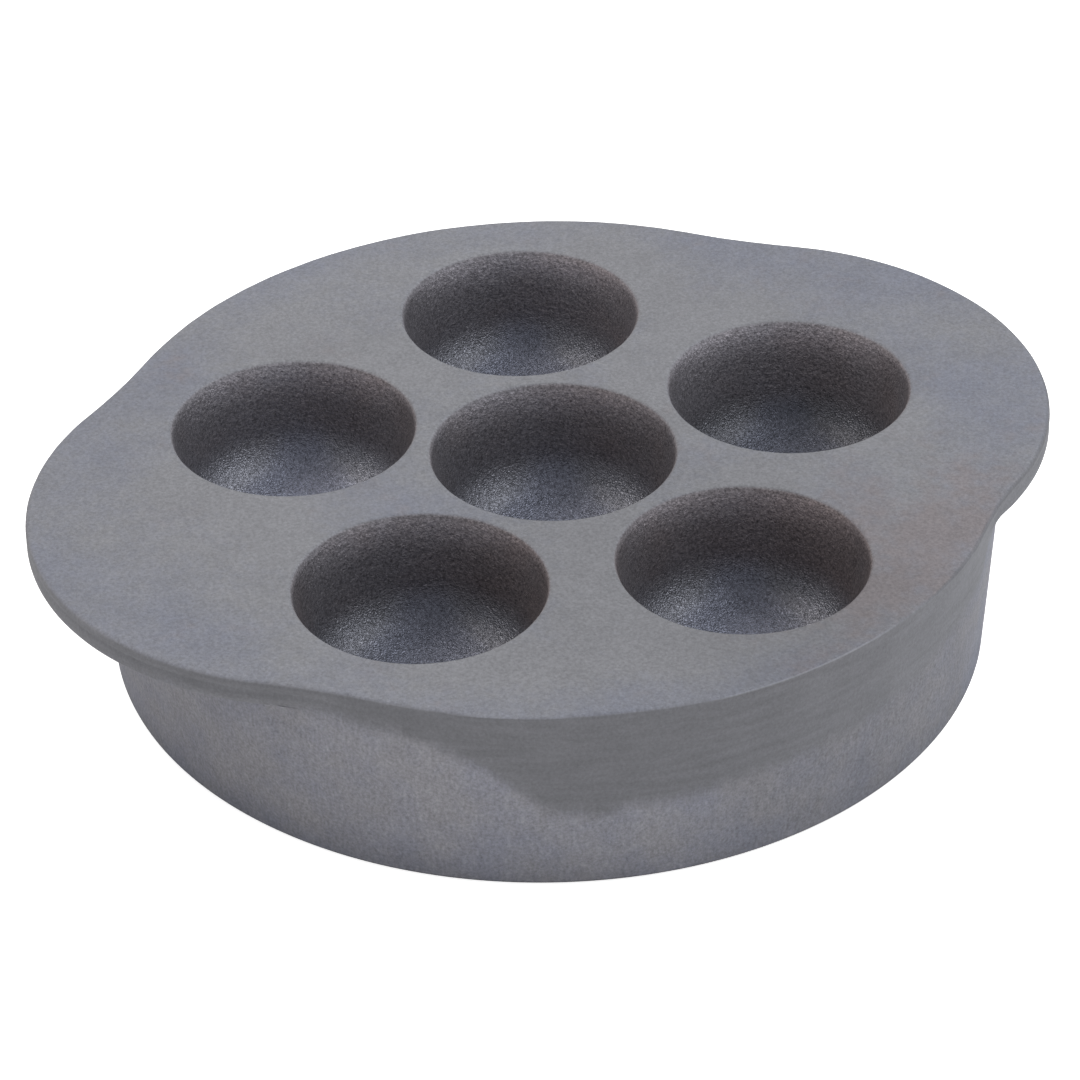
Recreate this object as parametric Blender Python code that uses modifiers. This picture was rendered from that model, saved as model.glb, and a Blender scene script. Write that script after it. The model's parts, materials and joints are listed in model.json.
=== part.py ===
"""Escargot dish: one iron casting with six wells, two ear handles and a skirt wall.

Lengths are metres and +Z is up. The ears point along X, and the foot of the skirt stands at z = 0.
Run it with: blender --background --python part.py
"""

import math

import bpy
from mathutils import Vector

MM = 0.001
OVERRUN = 2.0 * MM

# Wells: one in the middle and a ring of five round it
WELL_RADIUS = 17.5 * MM
WELL_DEPTH = 17.6 * MM
WELL_DRAFT = math.radians(8.0)
WELL_CORNER_RADIUS = 7.0 * MM
WELL_FLOOR_RADIUS = 40.0 * MM
WELL_LIP_ROUND = 0.8 * MM
WELL_WALL = 3.4 * MM
WELL_WEB = 3.05 * MM
RING_WELLS = 5
RING_TURN = math.radians(1.9)
RING_SHIFT = Vector((0.8 * MM, -0.95 * MM, 0.0))

# Plate, and the ears that grow out of its edge
PLATE_THICKNESS = 4.0 * MM
PLATE_MARGIN = 8.65 * MM
PLATE_EDGE_ROUND = 1.3 * MM
EAR_REACH = 11.5 * MM
EAR_RADIUS = 43.9 * MM
EAR_BLEND_RADIUS = 108.0 * MM

# Skirt wall: cast with draft, then ground upright below the plate's edge
DISH_HEIGHT = 28.75 * MM
GROUND_BAND = 13.4 * MM
SKIRT_DRAFT = math.radians(3.5)
SKIRT_WALL = 4.6 * MM
SKIRT_ROOT_FILLET = 1.5 * MM
HOLLOW_DRAFT = math.radians(4.0)
HOLLOW_FILLET = 2.0 * MM
FOOT_EDGE_ROUND = 0.4 * MM

# How finely round shapes are cut
ROUND_STEPS = 96
WELL_STEPS = 40
CUP_STEPS = 32

IRON_GREY = (0.20, 0.20, 0.212, 1.0)
IRON_ROUGHNESS = 0.6
IRON_METALLIC = 0.35

RING_RADIUS = 2.0 * WELL_RADIUS + WELL_WEB
PLATE_RADIUS = RING_RADIUS + WELL_RADIUS + PLATE_MARGIN
PLATE_UNDERSIDE = DISH_HEIGHT - PLATE_THICKNESS
PLATE_MIDDLE = DISH_HEIGHT - PLATE_THICKNESS / 2.0


def clear_scene():
    """Remove whatever the open file holds."""
    for item in list(bpy.data.objects):
        bpy.data.objects.remove(item, do_unlink=True)


def new_collection(name):
    """Return a new collection linked to the scene."""
    collection = bpy.data.collections.new(name)
    bpy.context.scene.collection.children.link(collection)
    return collection


def cast_iron():
    """Return the bare grey iron of the casting."""
    material = bpy.data.materials.new("cast_iron")
    material.use_nodes = True
    shader = material.node_tree.nodes["Principled BSDF"]
    shader.inputs["Base Color"].default_value = IRON_GREY
    shader.inputs["Roughness"].default_value = IRON_ROUGHNESS
    shader.inputs["Metallic"].default_value = IRON_METALLIC
    material.diffuse_color = IRON_GREY
    return material


def add_object(name, data, collection):
    """Return a new object that holds the data, linked to the collection."""
    item = bpy.data.objects.new(name, data)
    collection.objects.link(item)
    return item


def hide_cutter(item):
    """Keep a cutter out of renders and draw it as a wire."""
    item.hide_render = True
    item.display_type = "WIRE"
    return item


def arc(centre_x, centre_y, radius, start, end, steps):
    """Return points on an arc from one angle to another, both ends included."""
    angles = [start + (end - start) * i / steps for i in range(steps + 1)]
    return [(centre_x + radius * math.cos(a), centre_y + radius * math.sin(a)) for a in angles]


def plate_outline():
    """Return the plate's outline: a circle, two round ears and the hollow curves between them."""
    ear_centre = PLATE_RADIUS + EAR_REACH - EAR_RADIUS
    to_plate = PLATE_RADIUS + EAR_BLEND_RADIUS
    to_ear = EAR_RADIUS + EAR_BLEND_RADIUS
    blend_x = (to_plate**2 - to_ear**2 + ear_centre**2) / (2.0 * ear_centre)
    blend_y = math.sqrt(to_plate**2 - blend_x**2)
    plate_end = math.atan2(blend_y, blend_x)
    ear_end = math.atan2(blend_y, blend_x - ear_centre)

    ear = arc(ear_centre, 0.0, EAR_RADIUS, 0.0, ear_end, 8)
    blend = arc(blend_x, blend_y, EAR_BLEND_RADIUS, ear_end + math.pi, plate_end + math.pi, 5)
    side = arc(0.0, 0.0, PLATE_RADIUS, plate_end, math.pi / 2.0, 10)
    quarter = ear + blend[1:] + side[1:]
    half = quarter + [(-x, y) for x, y in reversed(quarter[:-1])]
    return half + [(x, -y) for x, y in reversed(half[1:-1])]


def prism(name, outline, low, high, collection):
    """Return a flat outline extruded from one height to another, as a mesh."""
    curve = bpy.data.curves.new(name, "CURVE")
    curve.dimensions = "2D"
    curve.fill_mode = "BOTH"
    curve.extrude = (high - low) / 2.0
    spline = curve.splines.new("POLY")
    spline.points.add(len(outline) - 1)
    for point, (x, y) in zip(spline.points, outline):
        point.co = (x, y, 0.0, 1.0)
    spline.use_cyclic_u = True
    drawing = add_object(name + "_outline", curve, collection)
    drawing.location.z = (low + high) / 2.0
    bpy.context.view_layer.update()
    mesh = bpy.data.meshes.new_from_object(drawing)
    mesh.name = name
    mesh.transform(drawing.matrix_world)
    bpy.data.objects.remove(drawing, do_unlink=True)
    item = add_object(name, mesh, collection)
    weld = item.modifiers.new("weld", "WELD")
    weld.merge_threshold = 0.00001
    return item


def turned(name, profile, steps, collection):
    """Return a solid turned about its own Z axis from a profile of (radius, height) points."""
    mesh = bpy.data.meshes.new(name)
    edges = [(i, i + 1) for i in range(len(profile) - 1)]
    mesh.from_pydata([(r, 0.0, z) for r, z in profile], edges, [])
    item = add_object(name, mesh, collection)
    screw = item.modifiers.new("turn", "SCREW")
    screw.axis = "Z"
    screw.steps = steps
    screw.render_steps = steps
    screw.use_merge_vertices = True
    screw.merge_threshold = 0.00001
    screw.use_smooth_shade = True
    return item


def combine(target, other, operation):
    """Join, cut or trim a solid with another one."""
    step = target.modifiers.new(operation.lower() + "_" + other.name, "BOOLEAN")
    step.operation = operation
    step.solver = "EXACT"
    step.object = other


def bowl_profile(mouth_radius, depth, corner_radius, floor_radius, corner_steps, floor_steps):
    """Return a bowl's side from its mouth at height 0 down to the middle of its floor.

    The side is a drafted wall, a round corner and a gently hollow floor, each tangent to the next.
    """
    floor_centre = floor_radius - depth
    reach = floor_radius - corner_radius
    slope = math.tan(WELL_DRAFT)
    start = mouth_radius - corner_radius / math.cos(WELL_DRAFT) + slope * floor_centre
    # The corner's centre lies on the wall's inner offset and at a fixed reach from the floor's centre.
    drop = (start * slope + math.sqrt(reach**2 * (1.0 + slope**2) - start**2)) / (1.0 + slope**2)
    corner_x = start - slope * drop
    corner_z = floor_centre - drop
    floor_end = math.atan2(corner_z - floor_centre, corner_x)
    corner = arc(corner_x, corner_z, corner_radius, -WELL_DRAFT, floor_end, corner_steps)
    floor = arc(0.0, floor_centre, floor_radius, floor_end, -math.pi / 2.0, floor_steps)
    pole = (0.0, floor[-1][1])
    return corner + floor[1:-1] + [pole]


def well_profile():
    """Return the profile of the cutter that makes one well, rounded lip included."""
    lip = arc(WELL_RADIUS + WELL_LIP_ROUND, -WELL_LIP_ROUND, WELL_LIP_ROUND, math.pi / 2.0, math.pi, 3)
    bowl = bowl_profile(WELL_RADIUS, WELL_DEPTH, WELL_CORNER_RADIUS, WELL_FLOOR_RADIUS, 4, 2)
    mouth = WELL_RADIUS + WELL_LIP_ROUND
    return [(0.0, OVERRUN), (mouth, OVERRUN)] + lip + bowl


def cup_profile():
    """Return the outside of the cup that wraps one well below the plate."""
    mouth = WELL_RADIUS + WELL_WALL / math.cos(WELL_DRAFT)
    side = bowl_profile(
        mouth,
        WELL_DEPTH + WELL_WALL,
        WELL_CORNER_RADIUS + WELL_WALL,
        WELL_FLOOR_RADIUS + WELL_WALL,
        3,
        2,
    )
    top = PLATE_MIDDLE - DISH_HEIGHT
    shoulder = mouth + math.tan(WELL_DRAFT) * top
    return [(0.0, top), (shoulder, top)] + side


def skirt_radius(height):
    """Return the cast skirt's outer radius at a height above the foot."""
    return PLATE_RADIUS + math.tan(SKIRT_DRAFT) * (height - (DISH_HEIGHT - GROUND_BAND))


def mould_profile():
    """Return the mould that shapes the skirt: all that lies outside its wall and under its foot."""
    foot = skirt_radius(0.0)
    outside = PLATE_RADIUS + EAR_REACH + OVERRUN
    wall_top = PLATE_UNDERSIDE - SKIRT_ROOT_FILLET
    fillet_centre = skirt_radius(wall_top) + SKIRT_ROOT_FILLET
    fillet = arc(fillet_centre, wall_top, SKIRT_ROOT_FILLET, math.pi, math.pi / 2.0, 3)
    return (
        [(0.0, 0.0), (foot - FOOT_EDGE_ROUND, 0.0), (foot, FOOT_EDGE_ROUND)]
        + fillet
        + [(outside, PLATE_UNDERSIDE), (outside, -2.0 * OVERRUN), (0.0, -2.0 * OVERRUN)]
    )


def hollow_profile():
    """Return the hollow inside the skirt, from under the plate down past the foot."""
    foot = skirt_radius(0.0) - SKIRT_WALL
    slope = math.tan(HOLLOW_DRAFT)
    fillet_height = PLATE_UNDERSIDE - HOLLOW_FILLET
    fillet_centre = foot - slope * fillet_height - HOLLOW_FILLET
    fillet = arc(fillet_centre, fillet_height, HOLLOW_FILLET, math.pi / 2.0, 0.0, 3)
    return (
        [(0.0, PLATE_UNDERSIDE)]
        + fillet
        + [(foot + slope * OVERRUN, -OVERRUN), (0.0, -OVERRUN)]
    )


def well_places():
    """Return where the wells' axes stand: the middle one first, then the ring."""
    angles = [RING_TURN + 2.0 * math.pi * i / RING_WELLS for i in range(RING_WELLS)]
    ring = [Vector((RING_RADIUS * math.cos(a), RING_RADIUS * math.sin(a), 0.0)) for a in angles]
    return [RING_SHIFT] + [RING_SHIFT + place for place in ring]


def build_dish():
    """Model the casting and return its object."""
    visible = new_collection("escargot_dish")
    cutters = new_collection("cutters")

    dish = prism("dish_casting", plate_outline(), -OVERRUN, DISH_HEIGHT, visible)
    rounding = dish.modifiers.new("edge_rounding", "BEVEL")
    rounding.width = PLATE_EDGE_ROUND
    rounding.segments = 3
    rounding.limit_method = "ANGLE"
    rounding.angle_limit = math.radians(60.0)

    mould = hide_cutter(turned("mould", mould_profile(), ROUND_STEPS, cutters))
    combine(dish, mould, "DIFFERENCE")
    hollow = hide_cutter(turned("hollow", hollow_profile(), ROUND_STEPS, cutters))
    # Half a step of turn keeps the hollow's edges from running into the mould's.
    hollow.rotation_euler.z = math.pi / ROUND_STEPS
    combine(dish, hollow, "DIFFERENCE")

    for number, place in enumerate(well_places()):
        cup = hide_cutter(turned(f"cup_{number}", cup_profile(), CUP_STEPS, cutters))
        cup.location = place + Vector((0.0, 0.0, DISH_HEIGHT))
        combine(dish, cup, "UNION")
    for number, place in enumerate(well_places()):
        well = hide_cutter(turned(f"well_{number}", well_profile(), WELL_STEPS, cutters))
        well.location = place + Vector((0.0, 0.0, DISH_HEIGHT))
        combine(dish, well, "DIFFERENCE")

    dish.data.materials.append(cast_iron())
    return dish


clear_scene()
build_dish()
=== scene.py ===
"""Escargot dish: the finish of its one iron casting, the floor it stands on, the lamps and the camera.

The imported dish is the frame. The casting is modelled again here at the same sizes, with the fine
forms that a sand casting has: rounded ear edges, the band that is ground upright on the wall, cups
with filleted roots and faint waves all over. Lengths are metres and +Z is up.
"""

import json
import logging
import math
from collections.abc import Callable, Iterator, Sequence
from contextlib import contextmanager
from dataclasses import dataclass
from enum import Enum
from functools import cached_property

import bmesh
import bpy
from mathutils import Matrix, Vector, noise

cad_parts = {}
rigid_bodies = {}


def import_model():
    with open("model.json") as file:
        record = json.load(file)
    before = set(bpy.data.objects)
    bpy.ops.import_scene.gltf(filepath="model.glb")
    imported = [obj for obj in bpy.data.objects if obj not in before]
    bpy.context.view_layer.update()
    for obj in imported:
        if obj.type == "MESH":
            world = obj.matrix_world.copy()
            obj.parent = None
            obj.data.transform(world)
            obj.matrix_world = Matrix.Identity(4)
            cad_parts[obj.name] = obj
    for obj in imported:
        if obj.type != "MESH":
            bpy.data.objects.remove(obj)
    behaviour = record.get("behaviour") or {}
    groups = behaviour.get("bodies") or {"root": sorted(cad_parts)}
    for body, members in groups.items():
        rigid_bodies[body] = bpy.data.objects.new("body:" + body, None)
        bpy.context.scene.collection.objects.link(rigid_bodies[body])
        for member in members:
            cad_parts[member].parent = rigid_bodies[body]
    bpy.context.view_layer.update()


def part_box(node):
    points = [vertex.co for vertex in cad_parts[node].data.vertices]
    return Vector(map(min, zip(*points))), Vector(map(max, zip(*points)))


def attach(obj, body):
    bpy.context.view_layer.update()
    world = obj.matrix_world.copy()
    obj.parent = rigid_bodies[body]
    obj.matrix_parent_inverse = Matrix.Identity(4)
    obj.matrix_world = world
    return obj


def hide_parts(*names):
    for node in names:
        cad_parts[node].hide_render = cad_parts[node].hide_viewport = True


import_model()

MM = 0.001
TOUCHING = 0.001 * MM
NODE = "dish_casting"
LOG = logging.getLogger("escargot_dish")

Piece = bpy.types.Object
Section = list[tuple[float, float]]
Colour = tuple[float, float, float]


class Pick(Enum):
    """What an operator acts on in edit mode."""

    POINTS = "VERT"
    FACES = "FACE"


class Joining(Enum):
    """How one solid is combined with others."""

    JOIN = "UNION"
    CUT = "DIFFERENCE"


def deselect_everything() -> None:
    """Leave no object selected."""
    for item in bpy.context.scene.objects:
        item.select_set(False)


def make_active(piece: Piece) -> None:
    """Select one piece alone, as the one that operators act on."""
    deselect_everything()
    piece.select_set(True)
    bpy.context.view_layer.objects.active = piece


@contextmanager
def editing(piece: Piece, pick: Pick) -> Iterator[None]:
    """Hold a piece in edit mode with nothing of it selected.

    Args:
        piece: The mesh object to edit.
        pick: Whether points or faces are picked.
    """
    make_active(piece)
    bpy.ops.object.mode_set(mode="EDIT")
    bpy.ops.mesh.select_mode(type=pick.value)
    bpy.ops.mesh.select_all(action="DESELECT")
    yield
    bpy.ops.object.mode_set(mode="OBJECT")


def apply_modifier(piece: Piece, step: bpy.types.Modifier) -> None:
    """Turn a modifier's result into the piece's own mesh."""
    make_active(piece)
    bpy.ops.object.modifier_apply(modifier=step.name)


def ease(share: float) -> float:
    """Return a share from 0 to 1 with a soft start and end."""
    held = min(max(share, 0.0), 1.0)
    return held * held * (3.0 - 2.0 * held)


def blend(first: float, second: float, share: float) -> float:
    """Return the value that lies a share of the way from the first to the second."""
    return first + (second - first) * share


def steps_between(first: float, last: float, count: int) -> list[float]:
    """Return evenly spaced values, both ends included."""
    return [blend(first, last, i / count) for i in range(count + 1)]


def arc(centre: tuple[float, float], radius: float, start: float, end: float, count: int) -> Section:
    """Return points on an arc, both ends included.

    Args:
        centre: The arc's centre.
        radius: The arc's radius.
        start: The first point's angle in degrees.
        end: The last point's angle in degrees.
        count: How many stretches the arc has.

    Returns:
        The points, first to last.
    """
    angles = [math.radians(a) for a in steps_between(start, end, count)]
    return [(centre[0] + radius * math.cos(a), centre[1] + radius * math.sin(a)) for a in angles]


def ripple(bearing: float, size: float, radius: float, seed: float) -> float:
    """Return a smooth random value from about -1 to 1 that runs round the dish without a seam.

    Args:
        bearing: Where on the circle, in radians.
        size: The length of a ripple.
        radius: The circle's radius.
        seed: Tells one ripple from another.
    """
    reach = radius / size
    return noise.noise(Vector((reach * math.cos(bearing), reach * math.sin(bearing), seed)))


class RingLoft:
    """A closed body that grows from one filled circle, whose cap is extruded ring after ring."""

    def __init__(self, name: str, segments: int) -> None:
        """Add the circle.

        Args:
            name: The body's name.
            segments: How many points each ring has.
        """
        deselect_everything()
        bpy.ops.mesh.primitive_circle_add(vertices=segments, radius=1.0, fill_type="NGON")
        self.piece = bpy.context.object
        self.piece.name = name
        self.segments = segments

    def bearings(self) -> list[float]:
        """Return the bearing of each point of a ring, in radians."""
        return [math.tau * i / self.segments for i in range(self.segments)]

    def grow(self, sections: Sequence[Section]) -> Piece:
        """Extrude the body through its sections.

        Args:
            sections: For each bearing the same number of (radius, height) stations.

        Returns:
            The closed body.
        """
        with editing(self.piece, Pick.FACES):
            bpy.ops.mesh.select_all(action="SELECT")
            self.place_cap(sections, 0)
            for station in range(1, len(sections[0])):
                bpy.ops.mesh.extrude_region_move(TRANSFORM_OT_translate={"value": (0.0, 0.0, 0.0)})
                self.place_cap(sections, station)
            bpy.ops.mesh.select_all(action="SELECT")
            bpy.ops.mesh.normals_make_consistent(inside=False)
        return self.piece

    def place_cap(self, sections: Sequence[Section], station: int) -> None:
        """Put the selected cap's points where the sections have them.

        Args:
            sections: The sections that the body grows through.
            station: Which station of each section the cap has reached.
        """
        body = bmesh.from_edit_mesh(self.piece.data)
        for point in body.verts:
            if point.select:
                turn = math.atan2(point.co.y, point.co.x) / math.tau
                place = round(turn * self.segments) % self.segments
                bearing = math.tau * place / self.segments
                radius, height = sections[place][station]
                point.co = (radius * math.cos(bearing), radius * math.sin(bearing), height)
        bmesh.update_edit_mesh(self.piece.data)


class Pen:
    """Draws a wire upright over the X axis and turns it into a solid about the Z axis."""

    def __init__(self, name: str, start: tuple[float, float]) -> None:
        """Set the pen down.

        Args:
            name: The solid's name.
            start: The wire's first point, as (radius, height).
        """
        deselect_everything()
        bpy.ops.mesh.primitive_plane_add(size=MM, location=(start[0], 0.0, start[1]))
        self.piece = bpy.context.object
        self.piece.name = name
        self.place = start
        bpy.ops.object.transform_apply(location=True, rotation=True, scale=True)
        with editing(self.piece, Pick.POINTS):
            bpy.ops.mesh.select_all(action="SELECT")
            bpy.ops.mesh.merge(type="CENTER")

    def turn(self, wire: Section, steps: int) -> Piece:
        """Draw the wire and spin it all the way round.

        Args:
            wire: The wire's other points, the last of them on the axis.
            steps: How many stretches one turn has.

        Returns:
            The closed solid.
        """
        with editing(self.piece, Pick.POINTS):
            bpy.ops.mesh.select_all(action="SELECT")
            for radius, height in wire:
                step = (radius - self.place[0], 0.0, height - self.place[1])
                bpy.ops.mesh.extrude_region_move(TRANSFORM_OT_translate={"value": step})
                self.place = (radius, height)
            bpy.ops.mesh.select_all(action="SELECT")
            bpy.ops.mesh.spin(steps=steps, angle=math.tau, center=(0.0, 0.0, 0.0), axis=(0.0, 0.0, 1.0))
            bpy.ops.mesh.select_all(action="SELECT")
            bpy.ops.mesh.remove_doubles(threshold=TOUCHING)
            bpy.ops.mesh.normals_make_consistent(inside=False)
        return self.piece


def combine(piece: Piece, others: Sequence[Piece], joining: Joining) -> None:
    """Join a piece with other solids or cut them out of it, and remove them.

    Args:
        piece: The piece that stays.
        others: The solids that are joined or cut out.
        joining: Which of the two is done.
    """
    group = bpy.data.collections.new(joining.value.lower())
    bpy.context.scene.collection.children.link(group)
    for other in others:
        group.objects.link(other)
    step = piece.modifiers.new(joining.value.lower(), "BOOLEAN")
    step.operation = joining.value
    step.operand_type = "COLLECTION"
    step.collection = group
    step.solver = "MANIFOLD"
    apply_modifier(piece, step)
    for other in others:
        bpy.data.objects.remove(other, do_unlink=True)
    bpy.data.collections.remove(group)
    LOG.info("%s: %d faces after %s", piece.name, len(piece.data.polygons), joining.name.lower())


@dataclass(frozen=True)
class EarOutline:
    """The plate's outline from above: a circle, two round ears and the hollow curves between them."""

    plate_radius: float
    ear_tip: float
    ear_radius: float = 43.9 * MM
    blend_radius: float = 108.0 * MM

    def ear_centre(self) -> float:
        """Return how far the centre of an ear's arc lies from the dish's middle."""
        return self.ear_tip - self.ear_radius

    def blend_centre(self) -> Vector:
        """Return the centre of the hollow curve that joins an ear to the circle."""
        to_plate = self.plate_radius + self.blend_radius
        to_ear = self.ear_radius + self.blend_radius
        x = (to_plate**2 - to_ear**2 + self.ear_centre() ** 2) / (2.0 * self.ear_centre())
        return Vector((x, math.sqrt(to_plate**2 - x**2)))

    def radius(self, bearing: float) -> float:
        """Return the outline's distance from the dish's middle.

        Args:
            bearing: Where round the dish, in radians.
        """
        folded = abs(math.atan2(math.sin(bearing), math.cos(bearing)))
        folded = min(folded, math.pi - folded)
        toward = Vector((math.cos(folded), math.sin(folded)))
        ear = Vector((self.ear_centre(), 0.0))
        hollow = self.blend_centre()
        ear_end = ear + (hollow - ear).normalized() * self.ear_radius
        if folded < math.atan2(ear_end.y, ear_end.x):
            along = toward.dot(ear)
            return along + math.sqrt(self.ear_radius**2 - ear.length_squared + along**2)
        if folded < math.atan2(hollow.y, hollow.x):
            along = toward.dot(hollow)
            return along - math.sqrt(self.blend_radius**2 - hollow.length_squared + along**2)
        return self.plate_radius

    def overhang(self, bearing: float) -> float:
        """Return how far the outline stands out from the circle at a bearing in radians."""
        return self.radius(bearing) - self.plate_radius


@dataclass(frozen=True)
class Around:
    """A size that changes round the dish.

    Its stops are pairs of a bearing in degrees and a length in millimetres. They run from the ear at
    -X round the front to the other ear and back.
    """

    stops: tuple[tuple[float, float], ...]

    def at(self, bearing: float) -> float:
        """Return the size at a bearing.

        Args:
            bearing: Where round the dish, in radians.
        """
        degrees = math.degrees(math.atan2(math.sin(bearing), math.cos(bearing)))
        for (start, first), (end, last) in zip(self.stops, self.stops[1:]):
            if degrees <= end:
                return blend(first, last, (degrees - start) / (end - start)) * MM
        return self.stops[-1][1] * MM


@dataclass(frozen=True)
class GroundBand:
    """The band below the plate's edge where the wall is ground by hand.

    It ends at a depth below the plate's top, and its grinding left the plate's edge with a swell past
    a true circle and with a rounding.
    """

    depth: Around = Around((
        (-180.0, 4.0), (-140.0, 3.6), (-131.0, 3.8), (-121.5, 7.8), (-112.8, 16.0), (-106.4, 16.9),
        (-103.5, 15.4), (-97.5, 15.8), (-88.0, 14.4), (-75.0, 13.8), (-62.0, 12.3), (-51.0, 9.7),
        (-43.0, 8.6), (-40.0, 4.2), (0.0, 4.0), (41.0, 4.2), (47.0, 8.4), (72.0, 13.2),
        (100.0, 14.6), (118.0, 12.8), (139.0, 4.4), (180.0, 4.0),
    ))
    swell: Around = Around((
        (-180.0, 0.0), (-136.0, 0.0), (-126.0, -0.1), (-121.5, 0.35), (-112.0, 0.3), (-110.5, 0.0),
        (-103.0, 0.0), (-92.0, 0.55), (-60.0, 0.65), (-46.0, 0.8), (-36.0, 0.0), (180.0, 0.0),
    ))
    rounding: Around = Around((
        (-180.0, 0.9), (-138.0, 0.7), (-123.5, 0.6), (-121.5, 0.3), (-111.8, 0.3), (-110.0, 0.7),
        (-98.0, 0.55), (-90.0, 0.3), (-66.0, 0.35), (-46.0, 0.7), (-20.0, 0.9), (38.0, 0.9),
        (60.0, 0.6), (120.0, 0.6), (142.0, 0.9), (180.0, 0.9),
    ))


@dataclass(frozen=True)
class Bowl:
    """The side of a well or of the cup round it: a drafted wall, a round corner and a hollow floor."""

    mouth_radius: float
    depth: float
    corner_radius: float
    floor_radius: float
    draft: float = math.radians(8.0)

    def side(self, corner_steps: int, floor_steps: int) -> Section:
        """Return the side from where the wall ends down to the middle of the floor.

        Args:
            corner_steps: How many stretches the corner has.
            floor_steps: How many stretches the floor has.

        Returns:
            The points, with the mouth at height 0.
        """
        floor_centre = self.floor_radius - self.depth
        reach = self.floor_radius - self.corner_radius
        slope = math.tan(self.draft)
        start = self.mouth_radius - self.corner_radius / math.cos(self.draft) + slope * floor_centre
        root = math.sqrt(reach**2 * (1.0 + slope**2) - start**2)
        drop = (start * slope + root) / (1.0 + slope**2)
        corner = (start - slope * drop, floor_centre - drop)
        floor_end = math.degrees(math.atan2(-drop, corner[0]))
        bend = arc(corner, self.corner_radius, -math.degrees(self.draft), floor_end, corner_steps)
        floor = arc((0.0, floor_centre), self.floor_radius, floor_end, -90.0, floor_steps)
        return bend + floor[1:-1] + [(0.0, floor[-1][1])]

    def wall_radius(self, height: float) -> float:
        """Return the drafted wall's radius at a height, which is negative below the mouth."""
        return self.mouth_radius + math.tan(self.draft) * height

    def wire(self, start: Section, wall: int, corner: int, floor: int) -> Section:
        """Return a line that goes from its first points down the wall to the middle of the floor.

        Args:
            start: The line's first points, the last of them on the wall.
            wall: How many stretches the wall has.
            corner: How many stretches the corner has.
            floor: How many stretches the floor has.
        """
        side = self.side(corner, floor)
        heights = steps_between(start[-1][1], side[0][1], wall)[1:-1]
        return start + [(self.wall_radius(z), z) for z in heights] + side


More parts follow.
